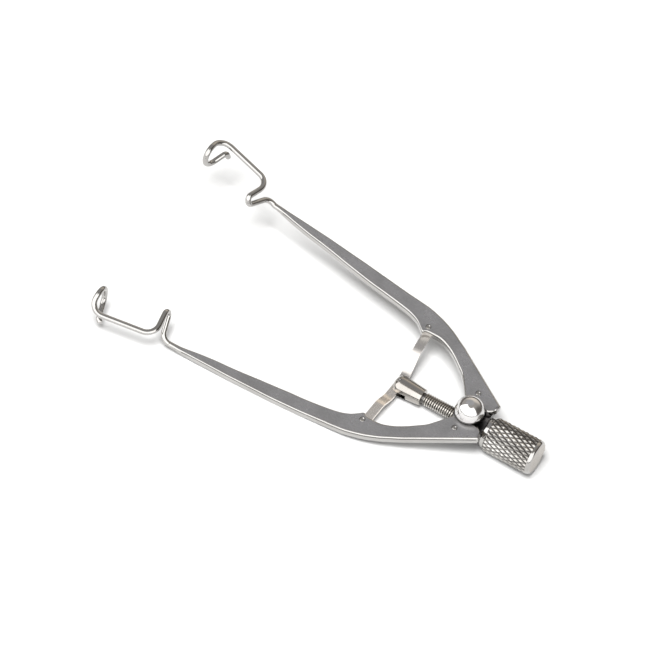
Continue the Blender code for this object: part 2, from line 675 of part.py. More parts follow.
build()
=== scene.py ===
"""Looks of the wire eyelid speculum: fine meshes, steel finishes, studio and camera.

Instrument axes: +X along the spindle to the blades, +Y to the left arm, +Z up. All
lengths are millimetres until a mesh is put in its place in the frame, in metres.
"""

import json
import math

import bmesh
import bpy
from mathutils import Matrix, Vector


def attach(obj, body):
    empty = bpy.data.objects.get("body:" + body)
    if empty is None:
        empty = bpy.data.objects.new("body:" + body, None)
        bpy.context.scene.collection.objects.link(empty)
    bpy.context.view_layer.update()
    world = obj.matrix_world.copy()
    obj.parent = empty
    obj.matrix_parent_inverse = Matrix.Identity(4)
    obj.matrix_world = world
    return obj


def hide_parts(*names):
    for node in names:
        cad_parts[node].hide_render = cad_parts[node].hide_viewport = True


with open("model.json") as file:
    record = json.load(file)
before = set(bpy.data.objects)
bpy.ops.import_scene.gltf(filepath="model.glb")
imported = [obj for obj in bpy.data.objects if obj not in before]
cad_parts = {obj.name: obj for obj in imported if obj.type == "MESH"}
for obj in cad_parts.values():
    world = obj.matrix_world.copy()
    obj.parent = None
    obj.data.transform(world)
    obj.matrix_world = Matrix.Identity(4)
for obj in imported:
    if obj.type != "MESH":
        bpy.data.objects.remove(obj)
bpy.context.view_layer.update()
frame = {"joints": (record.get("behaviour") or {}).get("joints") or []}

MM = 0.001
JOINTS = {joint["name"]: joint for joint in frame["joints"]}

# Sizes in millimetres. The CAD solids have the same, but for the wire, the rivets, the
# rear of the fork, the climb of the right link and the round edges of the arms, which
# are drawn nearer to the photograph.
LAYER_GAP = 0.05                 # between flat pieces stacked on each other

# Arms, with their pins and rivets
ARM_TOP = 3.8                    # flat arm faces above the spindle axis
ARM_THICK = 1.8
ARM_UNDER = ARM_TOP - ARM_THICK
ARM_EDGE = 0.48                  # rounded edges at the rear end of the arm
EDGE_LOSS = 0.2                  # how much smaller they are at the end of the bar
PIVOT_Y = 4.2
PIVOT_PIN_RADIUS = 0.5
PIN_TOP = ARM_TOP + 0.03
RIVET = Vector((15.05, 11.43, 0.0))
RIVET_RADIUS = 0.52
RIVET_HEAD_RADIUS = 0.9
RIVET_HEAD_THICK = 0.4
BAR_END = Vector((52.5, 17.67, 0.0))
BAR_END_RISE = 2.29
WIRE_RADIUS = 0.55

# Hub and dome
HUB_TOP = ARM_UNDER - LAYER_GAP
HUB_PLATE = 1.25
HUB_REAR, HUB_FRONT = -4.1, 2.1
HUB_PIVOT_WALL = 0.4             # metal outside each pivot pin
HUB_TAIL_HALF_WIDTH = 3.3
HUB_BARREL_RADIUS = 2.2
HUB_BORE_RADIUS = 1.3            # round the spindle
DOME_CENTER = Vector((-0.7, 0.0, 4.55))
DOME_RADIUS = 2.75
# Painted shade on the dome's post and rim up to this height
DOME_PAINTED_SHADE_TOP = 4.58             # the rim is dark up to this height
DOME_POST_RADIUS = 1.2

# Links. A strip starts and ends its climb this far from the fork pin, by side: the right
# one is bent more softly.
LINK_TOP = ARM_UNDER - LAYER_GAP
LINK_THICK = 0.5
LINK_WIDTH = 1.7
LINK_CLIMB = {1: (2.9, 6.5), -1: (1.9, 7.7)}
LINK_LOW = {1: 0.05, -1: -0.55}  # underside of the strip in the fork
EYE_SLIDE = 0.69
EYE_HALF = 0.54

# Spindle and fork
PIN_X = 14.3
FORK_PIN_RADIUS = 0.4
FORK_PIN_HALF = 1.83
FORK_TIP = 15.15
FORK_REAR = 9.15
FORK_NOSE_RADIUS = 2.03
FORK_REAR_RADIUS = 1.62
FORK_ROUND = 1.35
FORK_SLOT_DEPTH = 2.35           # behind the pin
FORK_SLOT_HALF = 0.625
THREAD_RADIUS = 1.25
THREAD_PITCH = 0.45
THREAD_DEPTH = 0.26
FLAT_DEPTH = 0.22
FLAT_ROLL_DEG = 20.0
SPINDLE_REAR = -7.2
NECK_LENGTH = 0.55
NECK_RADIUS = 0.975

# Thumb nut
NUT_FRONT = -4.3
NUT_REAR = -15.0
NUT_RADIUS = 3.4
NUT_NOSE_LENGTH = 1.45
NUT_BORE_END = -13.84
NUT_BORE_RADIUS = 1.3
NUT_SPIGOT_RADIUS = 1.7
NUT_SPIGOT_LENGTH = 1.6
KNURL_STARTS = 24                # grooves of each hand round the nut
KNURL_LEAN_DEG = 25.5            # groove angle to the axis
KNURL_DEPTH = 0.24

# Outline of the left arm's rear lever: outer edge along and out, inner edge along and
# out, measured from the line that runs from pivot to rivet.
LEVER = (
    (-4.51, 1.94, -4.79, 0.45), (-3.70, 2.02, -4.15, -0.72), (-2.40, 2.14, -3.38, -1.22),
    (-1.20, 2.26, -2.04, -1.90), (0.10, 2.38, -0.67, -2.51), (1.20, 2.49, 0.20, -2.60),
    (2.30, 2.59, 0.75, -2.40), (3.40, 2.70, 1.90, -1.82), (4.60, 2.82, 3.52, -1.00),
    (6.00, 2.95, 5.08, -0.31), (7.80, 3.13, 6.95, 0.11), (9.45, 3.29, 8.92, 0.48),
    (11.15, 3.36, 10.77, 0.64), (12.98, 3.46, 12.52, 0.56), (14.20, 3.44, 13.73, 0.30),
    (15.40, 3.38, 15.01, -0.26), (16.57, 3.27, 16.15, -0.88),
)

# Long bar: share of the way and offset of the outer edge, the same for the inner edge,
# and the height of its top face.
BAR = (
    (0.026, 3.34, 0.006, -1.52, 0.0), (0.066, 3.43, 0.030, -1.05, 0.0),
    (0.100, 3.38, 0.062, -0.42, 0.0), (0.136, 3.32, 0.100, -0.05, 0.0),
    (0.172, 3.22, 0.144, 0.12, 0.03), (0.215, 3.13, 0.221, 0.13, 0.08),
    (0.294, 2.98, 0.297, 0.07, 0.20), (0.372, 2.80, 0.376, -0.07, 0.42),
    (0.451, 2.60, 0.453, -0.11, 0.68), (0.528, 2.33, 0.531, -0.16, 0.98),
    (0.608, 2.06, 0.607, -0.15, 1.30), (0.684, 1.80, 0.683, -0.20, 1.60),
    (0.762, 1.46, 0.762, -0.32, 1.92), (0.838, 1.14, 0.837, -0.34, 2.20),
    (0.913, 0.83, 0.919, -0.28, 2.46), (0.950, 0.76, 0.951, -0.35, 2.58),
)

# Bends of the blade wire from the end of the bar: forward, outward, up, bend radius
BENDS = (
    (1.50, 0.33, 0.81, 1.90), (3.00, -4.17, 3.26, 0.90), (3.45, -3.57, 4.86, 0.92),
    (2.05, 1.73, 3.66, 2.45), (14.45, 4.48, 5.61, 2.30), (14.30, -1.15, 7.95, 1.85),
    (14.75, -0.85, 2.36, 2.05), (13.00, 3.73, 2.71, 0.75), (12.75, 3.80, 1.45, 0.00),
)

# The two blades were bent by hand: how far bends of the left one lie from the table
LEFT_BENDS = {1: (-0.30, 0.0, -0.40), 2: (-0.55, 0.0, -0.65), 8: (0.0, 0.0, 1.05)}

# Where the round wire leaves the flat bar, from the end of the bar: backward along the
# bar, outward, downward; and the radius of its first bend
WIRE_ROOT = (0.85, 0.10, 0.11)
WIRE_ROOT_BEND = 1.4


def instrument_place():
    """Matrix from instrument axes, in millimetres, to the frame, in metres."""
    x = Vector(JOINTS["nut_turn"]["axis"]).normalized()
    z = Vector(JOINTS["left_arm_swing"]["axis"]).normalized()
    y = z.cross(x).normalized()
    z = x.cross(y)
    left = Vector(JOINTS["left_arm_swing"]["pos_m"])
    right = Vector(JOINTS["right_arm_swing"]["pos_m"])
    origin = (left + right) * 0.5 - z * (ARM_UNDER * MM)
    turn = Matrix((x, y, z)).transposed()
    return Matrix.Translation(origin) @ turn.to_4x4() @ Matrix.Scale(MM, 4), turn


PLACE, TURN = instrument_place()


# Mesh helpers

def new_object(name, bm, smooth_deg=40.0):
    """Object from a bmesh in instrument millimetres; dress() puts it in the frame."""
    bmesh.ops.recalc_face_normals(bm, faces=bm.faces)
    mesh = bpy.data.meshes.new(name)
    bm.to_mesh(mesh)
    bm.free()
    mesh.shade_smooth()
    mesh.set_sharp_from_angle(angle=math.radians(smooth_deg))
    obj = bpy.data.objects.new(name, mesh)
    bpy.context.scene.collection.objects.link(obj)
    return obj


def boolean(obj, cutter_bm, operation="DIFFERENCE"):
    """Cut or join at once, in instrument millimetres."""
    cutter = new_object(obj.name + "_cutter", cutter_bm)
    modifier = obj.modifiers.new("cut", "BOOLEAN")
    modifier.operation = operation
    modifier.object = cutter
    apply_modifiers(obj)
    bpy.data.objects.remove(cutter, do_unlink=True)


def apply_modifiers(obj):
    bpy.context.view_layer.update()
    graph = bpy.context.evaluated_depsgraph_get()
    mesh = bpy.data.meshes.new_from_object(obj.evaluated_get(graph))
    obj.modifiers.clear()
    obj.data = mesh


def bevel(obj, width, segments, angle_deg):
    """Round the edges that are sharper than an angle."""
    modifier = obj.modifiers.new("edges", "BEVEL")
    modifier.width = width
    modifier.segments = segments
    modifier.limit_method = "ANGLE"
    modifier.angle_limit = math.radians(angle_deg)
    modifier.harden_normals = False
    apply_modifiers(obj)


def dress(obj, body, materials, nodes, sharp_deg=40.0):
    """Place a finished piece in the frame, give it its metals and let it ride."""
    mesh = obj.data
    mesh.transform(PLACE)
    chosen = [face.material_index for face in mesh.polygons]
    mesh.materials.clear()
    for material in materials:
        mesh.materials.append(material)
    mesh.polygons.foreach_set("material_index", [min(i, len(materials) - 1) for i in chosen])
    mesh.shade_smooth()
    mesh.set_sharp_from_angle(angle=math.radians(sharp_deg))
    weighted = obj.modifiers.new("flat_faces", "WEIGHTED_NORMAL")
    weighted.keep_sharp = True
    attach(obj, body)
    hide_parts(*nodes)


def lathe(profile, axis="X", center=(0.0, 0.0), facets=96):
    """Spin (along, radius) points; a radius of 0 closes an end."""
    bm = bmesh.new()
    rings = []
    for along, radius in profile:
        ring = []
        for k in range(1 if radius == 0.0 else facets):
            turn = 2.0 * math.pi * k / facets
            a, b = radius * math.cos(turn), radius * math.sin(turn)
            point = (along, center[0] + a, center[1] + b)
            if axis == "Z":
                point = (center[0] + a, center[1] + b, along)
            ring.append(bm.verts.new(point))
        rings.append(ring)
    join_rings(bm, rings)
    return bm


def join_rings(bm, rings):
    """Faces between each ring of points and the next; a single point closes an end."""
    for low, high in zip(rings, rings[1:]):
        count = max(len(low), len(high))
        for k in range(count):
            n = (k + 1) % count
            if len(low) == 1:
                bm.faces.new((low[0], high[k], high[n]))
            elif len(high) == 1:
                bm.faces.new((low[k], high[0], low[n]))
            else:
                bm.faces.new((low[k], low[n], high[n], high[k]))


def arc(center_a, center_b, radius, start_deg, end_deg, steps):
    """Points of a round edge in a lathe profile."""
    points = []
    for k in range(steps + 1):
        turn = math.radians(start_deg + (end_deg - start_deg) * k / steps)
        points.append((center_a + radius * math.cos(turn), center_b + radius * math.sin(turn)))
    return points


def plate(outline, bottom, top):
    """Prism over an outline in the XY plane."""
    bm = bmesh.new()
    face = bm.faces.new([bm.verts.new((x, y, bottom)) for x, y in outline])
    raised = bmesh.ops.extrude_face_region(bm, geom=[face])
    lifted = [v for v in raised["geom"] if isinstance(v, bmesh.types.BMVert)]
    bmesh.ops.translate(bm, verts=lifted, vec=(0.0, 0.0, top - bottom))
    return bm


def curve_through(rows, steps):
    """Smooth Catmull-Rom curve through rows of numbers."""
    out = []
    last = len(rows) - 1
    for i in range(last):
        p0, p1 = rows[max(0, i - 1)], rows[i]
        p2, p3 = rows[i + 1], rows[min(last, i + 2)]
        for k in range(steps):
            t = k / steps
            out.append(tuple(
                0.5 * (2 * b + (c - a) * t + (2 * a - 5 * b + 4 * c - d) * t * t
                       + (3 * b - a - 3 * c + d) * t * t * t)
                for a, b, c, d in zip(p0, p1, p2, p3)))
    out.append(rows[last])
    return out


# Steel finishes

def node(tree, kind, place, **values):
    made = tree.nodes.new(kind)
    made.location = place
    for key, value in values.items():
        setattr(made, key, value)
    return made


def steel(name, color, worn, roughness, spread, grain, grain_size, stretch, bump, painted_groove_shade=None):
    """Metal with mottled tone, streaked grain and uneven gloss.

    The last argument gives the distance from the spindle axis of groove floors and of crests, in
    millimetres, and how bright the floors are: a painted shade darkens the groove floors.
    """
    material = bpy.data.materials.new(name)
    material.use_nodes = True
    tree = material.node_tree
    shader = tree.nodes["Principled BSDF"]
    shader.inputs["Metallic"].default_value = 1.0
    coords = node(tree, "ShaderNodeTexCoord", (-1300, 0))
    mapping = node(tree, "ShaderNodeMapping", (-1120, 0))
    mapping.inputs["Scale"].default_value = stretch
    tree.links.new(coords.outputs["Object"], mapping.inputs["Vector"])

    streaks = node(tree, "ShaderNodeTexNoise", (-900, 200))
    streaks.inputs["Scale"].default_value = grain_size
    streaks.inputs["Detail"].default_value = 5.0
    streaks.inputs["Roughness"].default_value = 0.65
    tree.links.new(mapping.outputs["Vector"], streaks.inputs["Vector"])
    clouds = node(tree, "ShaderNodeTexNoise", (-900, -100))
    clouds.inputs["Scale"].default_value = 190.0
    clouds.inputs["Detail"].default_value = 3.0
    tree.links.new(coords.outputs["Object"], clouds.inputs["Vector"])

    tone = node(tree, "ShaderNodeMixRGB", (-500, 300))
    tone.inputs["Color1"].default_value = (*color, 1.0)
    tone.inputs["Color2"].default_value = (*worn, 1.0)
    blend = node(tree, "ShaderNodeMapRange", (-700, 300))
    blend.inputs["From Min"].default_value = 0.35
    blend.inputs["From Max"].default_value = 0.65
    tree.links.new(clouds.outputs["Fac"], blend.inputs["Value"])
    tree.links.new(blend.outputs["Result"], tone.inputs["Fac"])
    speck = node(tree, "ShaderNodeMixRGB", (-300, 300), blend_type="MULTIPLY")
    speck.inputs["Fac"].default_value = grain
    speckle = node(tree, "ShaderNodeMapRange", (-500, 80))
    speckle.inputs["From Min"].default_value = 0.25
    speckle.inputs["From Max"].default_value = 0.75
    speckle.inputs["To Min"].default_value = 0.55
    speckle.inputs["To Max"].default_value = 1.35
    tree.links.new(streaks.outputs["Fac"], speckle.inputs["Value"])
    tree.links.new(tone.outputs["Color"], speck.inputs["Color1"])
    tree.links.new(speckle.outputs["Result"], speck.inputs["Color2"])
    finished = speck
    # Painted shade: the groove floors are darkened by their distance from the spindle axis
    if painted_groove_shade:
        finished = node(tree, "ShaderNodeMixRGB", (-100, 450), blend_type="MULTIPLY")
        finished.inputs["Fac"].default_value = 1.0
        shade = groove_shade(tree, coords, painted_groove_shade)
        tree.links.new(speck.outputs["Color"], finished.inputs["Color1"])
        tree.links.new(shade.outputs["Result"], finished.inputs["Color2"])
    tree.links.new(finished.outputs["Color"], shader.inputs["Base Color"])

    gloss = node(tree, "ShaderNodeMapRange", (-500, -150))
    gloss.inputs["From Min"].default_value = 0.3
    gloss.inputs["From Max"].default_value = 0.7
    gloss.inputs["To Min"].default_value = roughness - spread
    gloss.inputs["To Max"].default_value = roughness + spread
    tree.links.new(clouds.outputs["Fac"], gloss.inputs["Value"])
    tree.links.new(gloss.outputs["Result"], shader.inputs["Roughness"])

    relief = node(tree, "ShaderNodeBump", (-300, -350))
    relief.inputs["Strength"].default_value = bump
    relief.inputs["Distance"].default_value = 0.00002
    tree.links.new(streaks.outputs["Fac"], relief.inputs["Height"])
    tree.links.new(relief.outputs["Normal"], shader.inputs["Normal"])
    return material


def groove_shade(tree, coords, painted_groove_shade):
    """Painted shade factor: dark in groove floors, 1 on crests, from the distance to the spindle
    axis.
    """
    floor_radius, crest_radius, dark = painted_groove_shade
    offset = node(tree, "ShaderNodeVectorMath", (-1100, 600), operation="SUBTRACT")
    offset.inputs[1].default_value = PLACE @ Vector((0.0, 0.0, 0.0))
    tree.links.new(coords.outputs["Object"], offset.inputs[0])
    lever = node(tree, "ShaderNodeVectorMath", (-900, 600), operation="CROSS_PRODUCT")
    lever.inputs[1].default_value = TURN @ Vector((1.0, 0.0, 0.0))
    tree.links.new(offset.outputs["Vector"], lever.inputs[0])
    reach = node(tree, "ShaderNodeVectorMath", (-700, 600), operation="LENGTH")
    tree.links.new(lever.outputs["Vector"], reach.inputs[0])
    shade = node(tree, "ShaderNodeMapRange", (-500, 600))
    shade.inputs["From Min"].default_value = floor_radius * MM
    shade.inputs["From Max"].default_value = crest_radius * MM
    shade.inputs["To Min"].default_value = dark
    shade.inputs["To Max"].default_value = 1.0
    tree.links.new(reach.outputs["Value"], shade.inputs["Value"])
    return shade


# Name, colour and worn colour, roughness and its spread, strength and size of the grain,
# # stretch of the grain along each axis, bump, and the painted shade in the grooves where the
# piece has them
satin = steel("satin_face", (0.57, 0.56, 0.56), (0.43, 0.425, 0.425), 0.30, 0.06,
              0.45, 2600.0, (1.0, 2.6, 1.0), 0.30)
polished = steel("polished_steel", (0.46, 0.45, 0.435), (0.41, 0.40, 0.385), 0.10, 0.03,
                 0.15, 1500.0, (1.0, 1.0, 1.0), 0.015)
fork_steel = steel("turned_steel", (0.46, 0.435, 0.405), (0.39, 0.37, 0.345), 0.13, 0.04,
                   0.25, 2200.0, (6.0, 1.0, 1.0), 0.12)
thread_steel = steel("thread_steel", (0.78, 0.75, 0.71), (0.66, 0.63, 0.59), 0.14, 0.04,
                     0.30, 2200.0, (1.0, 1.0, 1.0), 0.12, (1.00, 1.20, 0.10))
# Dark steel that carries painted shade and painted dark reflections: the strips on the upper arm
# edges, the undercut behind the fork and the rim of the dome
painted_shade_steel = steel("painted_dark_edge", (0.15, 0.145, 0.14), (0.12, 0.115, 0.11), 0.16, 0.04,
                   0.20, 1500.0, (1.0, 1.0, 1.0), 0.06)
face_steel = steel("turned_face", (0.37, 0.34, 0.30), (0.32, 0.29, 0.255), 0.20, 0.05,
                   0.30, 2000.0, (1.0, 1.0, 1.0), 0.12)
# Painted light: the far link's greyer copy of the links' steel, for the reflection it shows
far_strip = steel("far_strip_steel", (0.66, 0.63, 0.60), (0.60, 0.575, 0.545), 0.34, 0.05,
                  0.35, 2400.0, (2.0, 1.0, 1.0), 0.20)
# The hub's dark colour is painted shade, for the shadow under the arms and the dome
shaded_hub_steel = steel("shaded_hub_steel", (0.16, 0.155, 0.155), (0.13, 0.125, 0.125), 0.22, 0.05,
                  0.30, 2200.0, (1.0, 1.0, 1.0), 0.15)
cap_steel = steel("cap_steel", (0.76, 0.75, 0.745), (0.68, 0.67, 0.665), 0.12, 0.04,
                  0.15, 1500.0, (1.0, 1.0, 1.0), 0.05)
# Painted light: the near link's lighter, warmer copy of the links' steel, for the reflection it
# shows
strip_steel = steel("strip_steel", (0.92, 0.86, 0.79), (0.85, 0.79, 0.72), 0.24, 0.05,
                    0.35, 2400.0, (2.0, 1.0, 1.0), 0.20)
knurl_steel = steel("knurl_steel", (0.66, 0.64, 0.61), (0.50, 0.48, 0.45), 0.15, 0.05,
                    0.30, 2000.0, (1.0, 1.0, 1.0), 0.15, (3.18, 3.37, 0.10))


# Arms with their wire blades

ARC_STEPS = 7                    # points round each rounded edge of a section
RING = 4 * ARC_STEPS
RUN_STEP = 0.4                   # between the rings along the wire's straight runs


def section(outer, inner, top, thick, edge, up):
    """Ring of points round a rounded rectangle between two edge points of a bar."""
    across = (outer - inner).normalized()
    width = (outer - inner).length
    middle = (outer + inner) * 0.5 + up * (top - 0.5 * thick)
    edge = min(edge, 0.4999 * width, 0.4999 * thick)
    ring = []
    for corner, (sx, sz) in enumerate(((1, 1), (-1, 1), (-1, -1), (1, -1))):
        hub = middle + across * (sx * (0.5 * width - edge)) + up * (sz * (0.5 * thick - edge))
        for k in range(ARC_STEPS):
            turn = math.radians(90.0 * corner + 90.0 * k / (ARC_STEPS - 1))
            ring.append(hub + across * (edge * math.cos(turn)) + up * (edge * math.sin(turn)))
    return ring


def bend_path(points, radii, step_deg=4.0):
    """Centre line through straight runs joined by round bends."""
    path = [points[0]]
    for before, corner, after, radius in zip(points, points[1:], points[2:], radii):
        back = (before - corner).normalized()
        ahead = (after - corner).normalized()
        turn = math.pi - back.angle(ahead)
        start = corner + back * (radius * math.tan(0.5 * turn))
        hub = corner + (back + ahead).normalized() * (radius / math.cos(0.5 * turn))
        axis = back.cross(ahead).normalized()
        steps = max(3, math.ceil(math.degrees(turn) / step_deg))
        for k in range(steps + 1):
            path.append(hub + Matrix.Rotation(-turn * k / steps, 3, axis) @ (start - hub))
    path.append(points[-1])
    fine = [path[0]]
    for before, after in zip(path, path[1:]):
        runs = max(1, round((after - before).length / RUN_STEP))
        fine.extend(before.lerp(after, k / runs) for k in range(1, runs + 1))
    return fine


def arm_rings(moved):
    """Rings of the left arm from its rear end to the tip of its blade."""
    up = Vector((0.0, 0.0, 1.0))
    pivot = Vector((0.0, PIVOT_Y, 0.0))
    along = (RIVET - pivot).normalized()
    out = Vector((-along.y, along.x, 0.0))
    rows = []
    for oa, oo, ia, io in LEVER:
        outer = pivot + along * oa + out * oo
        inner = pivot + along * ia + out * io
        rows.append((outer.x, outer.y, inner.x, inner.y, 0.0))
    bar = BAR_END - RIVET
    out = Vector((-bar.y, bar.x, 0.0)).normalized()
    for oa, oo, ia, io, rise in BAR:
        outer = RIVET + bar * oa + out * oo
        inner = RIVET + bar * ia + out * io
        rows.append((outer.x, outer.y, inner.x, inner.y, rise))

    # Round wire after the bar
    start = Vector((BAR_END.x, BAR_END.y, ARM_TOP + BAR_END_RISE))
    root_back, root_out, root_down = WIRE_ROOT
    back = start - bar.normalized() * root_back + out * root_out - up * root_down
    points = [back, start] + [start + Vector(bend[:3]) + Vector(moved.get(i, (0.0, 0.0, 0.0)))
                              for i, bend in enumerate(BENDS)]
    path = bend_path(points, [WIRE_ROOT_BEND] + [bend[3] for bend in BENDS])
    heading = (path[1] - path[0]).normalized()
    across = up.cross(heading).normalized()
    wire_up = heading.cross(across)
    first = section(back + across * WIRE_RADIUS, back - across * WIRE_RADIUS,
                    WIRE_RADIUS, 2 * WIRE_RADIUS, WIRE_RADIUS, wire_up)

    # Sections of the flat bar, which gets as thin as the wire between its last rows
    steps = 5
    smooth = curve_through(rows, steps)
    total = len(smooth)
    narrowing = (len(rows) - 3) * steps
    outer = Vector((smooth[0][0], smooth[0][1], 0.0))
    inner = Vector((smooth[0][2], smooth[0][3], 0.0))
    across_end = (outer - inner).normalized()
    rearward = Vector((-across_end.y, across_end.x, 0.0))
    rings = rear_rings(outer, inner, across_end, rearward, up)
    for i, (ox, oy, ix, iy, rise) in enumerate(smooth[2:], start=2):
        blend = max(0.0, (i - narrowing) / (total + steps - narrowing))
        blend = blend * blend * (3.0 - 2.0 * blend)
        thick = ARM_THICK + (2 * WIRE_RADIUS - ARM_THICK) * blend
        edge = ARM_EDGE - EDGE_LOSS * i / total
        edge += (WIRE_RADIUS - edge) * blend
        rings.append(section(Vector((ox, oy, 0.0)), Vector((ix, iy, 0.0)),
                             ARM_TOP + rise, thick, edge, up))
    # A few rings that turn the last flat section into the round wire
    flat_last = rings[-1]
    for k in range(1, steps):
        t = k / steps
        rings.append([a.lerp(b, t) for a, b in zip(flat_last, first)])
    wire_from = len(rings)
    rings.append(first)
    rings.extend(sweep(path, first))

    # Rounded tip of the wire
    tip = path[-1]
    tangent = (path[-1] - path[-2]).normalized()
    base = [p - tip for p in rings[-1]]
    for k in range(1, 7):
        turn = math.radians(88.0 * k / 6)
        rings.append([tip + tangent * (0.6 * WIRE_RADIUS * math.sin(turn)) + v * math.cos(turn)
                      for v in base])
    return rings, wire_from


def rear_rings(outer, inner, across, rearward, up):
    """Rounded rear end of the lever."""
    rings = []
    for k in range(7):
        turn = math.radians(90.0 * k / 6)
        inset = ARM_EDGE * (1.0 - math.sin(turn))
        shift = -rearward * (ARM_EDGE * (1.0 - math.cos(turn)))
        rings.append(section(outer + shift - across * inset, inner + shift + across * inset,
                             ARM_TOP - inset, ARM_THICK - 2 * inset,
                             ARM_EDGE - 0.9 * inset, up))
    return rings


def sweep(path, ring):
    """Carry a ring of points along a path, turning it only as the path bends."""
    rings = []
    heading = (path[1] - path[0]).normalized()
    offsets = [p - path[0] for p in ring]
    for i in range(1, len(path)):
        arrive = (path[i] - path[i - 1]).normalized()
        leave = (path[i + 1] - path[i]).normalized() if i + 1 < len(path) else arrive
        tangent = (arrive + leave).normalized()
        turn = heading.rotation_difference(tangent)
        offsets = [turn @ v for v in offsets]
        heading = tangent
        rings.append([path[i] + v for v in offsets])
    return rings


def make_arm(word, side):
    """Satin flats, polished sides and wire, and painted dark reflection strips on the upper
    edges.
    """
    rings, wire_from = arm_rings(LEFT_BENDS if side > 0 else {})
    bm = bmesh.new()
    loops = [[bm.verts.new((p.x, side * p.y, p.z)) for p in ring] for ring in rings]
    flats = (ARC_STEPS - 1, 3 * ARC_STEPS - 1)     # top and underside, between the edges
    painted_dark_faces = (0, 1, 2 * ARC_STEPS - 3, 2 * ARC_STEPS - 2)
    for i, (low, high) in enumerate(zip(loops, loops[1:])):
        for k in range(RING):
            n = (k + 1) % RING
            face = bm.faces.new((low[k], low[n], high[n], high[k]))
            face.material_index = 0 if k in flats and i < wire_from else 1
            # Painted dark reflection strips on the upper round edges, between the rounded rear
            # end and the wire
            if k in painted_dark_faces and 7 < i < wire_from - 8:
                face.material_index = 2
    bm.faces.new(loops[0]).material_index = 1
    bm.faces.new(loops[-1]).material_index = 1
    bmesh.ops.remove_doubles(bm, verts=bm.verts, dist=1e-5)
    arm = new_object(word + "_arm_bar", bm)
    metals = (satin, polished, painted_shade_steel)
    for metal in metals:
        arm.data.materials.append(metal)
    for x, y, radius in ((0.0, PIVOT_Y, PIVOT_PIN_RADIUS + 0.05),
                         (RIVET.x, RIVET.y, RIVET_RADIUS + 0.03)):
        boolean(arm, lathe([(0.0, 0.0), (0.0, radius), (8.0, radius), (8.0, 0.0)],
                           "Z", (x, side * y), 48))
    dress(arm, word + "_arm", metals, (word + "_arm",), 35.0)


def make_pin(name, x, y, bottom, top, radius, body, node_name):
    """Pin with a rounded rim and a shallow cup in its end."""
    rim = 0.22 * radius
    cup = 0.175 * radius
    profile = [(bottom, 0.0), (bottom, radius - rim)]
    profile += arc(bottom + rim, radius - rim, rim, 180.0, 90.0, 4)[1:]
    profile += arc(top - rim, radius - rim, rim, 90.0, 0.0, 5)
    for k in range(1, 6):
        share = k / 6
        profile.append((top - cup * math.sin(0.5 * math.pi * share),
                        (radius - rim) * (1.0 - share)))
    profile.append((top - cup, 0.0))
    pin = new_object(name, lathe(profile, "Z", (x, y), 40))
    dress(pin, body, (polished,), (node_name,), 50.0)


def make_link(word, side):
    """Strip from the fork pin, level, ramped up and level again to the rivet."""
    low = LINK_LOW[side]
    pin = Vector((PIN_X, 0.0, 0.0))
    rivet = Vector((RIVET.x, side * RIVET.y, 0.0))
    length = (rivet - pin).length
    across = (rivet - pin).normalized()
    sideways = Vector((-across.y, across.x, 0.0))
    half = 0.5 * LINK_WIDTH
    climb = LINK_TOP - LINK_THICK - low
    cells = []
    steps = 14
    for k in range(steps + 1):
        turn = math.radians(90.0) * k / steps
        cells.append((-half * math.cos(turn), half * math.sin(turn), low))
    climb_from, climb_to = LINK_CLIMB[side]
    cells.append((climb_from, half, low))
    ramp = 20
    for k in range(1, ramp + 1):
        share = k / ramp
        ease = share * share * (3.0 - 2.0 * share)
        cells.append((climb_from + (climb_to - climb_from) * share, half, low + climb * ease))
    for k in range(steps + 1):
        turn = math.radians(90.0) * (1.0 - k / steps)
        cells.append((length + half * math.cos(turn), half * math.sin(turn), low + climb))
    bm = bmesh.new()
    rows = []
    for distance, width, height in cells:
        middle = pin + across * distance
        offsets = (0.0,) if width < 1e-6 else (width, -width)
        rows.append([[bm.verts.new(middle + sideways * s + Vector((0.0, 0.0, z)))
                      for s in offsets] for z in (height, height + LINK_THICK)])
    for row, nxt in zip(rows, rows[1:]):
        for level in (0, 1):
            bm.faces.new(row[level] + nxt[level][::-1])
        for s in (0, -1):
            bm.faces.new((row[0][s], nxt[0][s], nxt[1][s], row[1][s]))
    link = new_object(word + "_link_strip", bm)
    slot = []
    for start, shift in ((90.0, 0.0), (-90.0, EYE_SLIDE)):
        for k in range(17):
            turn = math.radians(start + 180.0 * k / 16)
            slot.append(pin + across * (shift + EYE_HALF * math.cos(turn))
                        + sideways * (EYE_HALF * math.sin(turn)))
    boolean(link, plate([(p.x, p.y) for p in slot], low - 1.0, low + 1.0))
    boolean(link, lathe([(1.0, 0.0), (1.0, RIVET_RADIUS + 0.05), (3.0, RIVET_RADIUS + 0.05),
                         (3.0, 0.0)], "Z", (rivet.x, rivet.y), 40))
    bevel(link, 0.07, 3, 50.0)
    # The near link gets the lighter painted tone, the far link the greyer one
    metal = strip_steel if side > 0 else far_strip
    dress(link, word + "_link", (metal,), (word + "_link",), 35.0)


def make_rivet(word, side):
    """Rivet with a low head under the link and a cupped end in the arm."""
    head_top = LINK_TOP - LINK_THICK - LAYER_GAP
    head = RIVET_HEAD_RADIUS
    profile = [(head_top - RIVET_HEAD_THICK, 0.0), (head_top - RIVET_HEAD_THICK, 0.55 * head)]
    profile += arc(head_top - 0.2, head - 0.2, 0.2, 180.0, 90.0, 5)[1:]
    profile += [(head_top - 0.04, head), (head_top, head - 0.04), (head_top, RIVET_RADIUS)]
    rim = 0.10
    profile += arc(PIN_TOP - rim, RIVET_RADIUS - rim, rim, 90.0, 0.0, 5)
    for k in range(1, 6):
        share = k / 6
        profile.append((PIN_TOP - 0.1 * math.sin(0.5 * math.pi * share),
                        (RIVET_RADIUS - rim) * (1.0 - share)))
    profile.append((PIN_TOP - 0.1, 0.0))
    rivet = new_object(word + "_rivet_body", lathe(profile, "Z", (RIVET.x, side * RIVET.y), 40))
    dress(rivet, word + "_arm", (polished,), (word + "_link_rivet",), 50.0)


# Spindle: threaded rod with a flat, and the fork

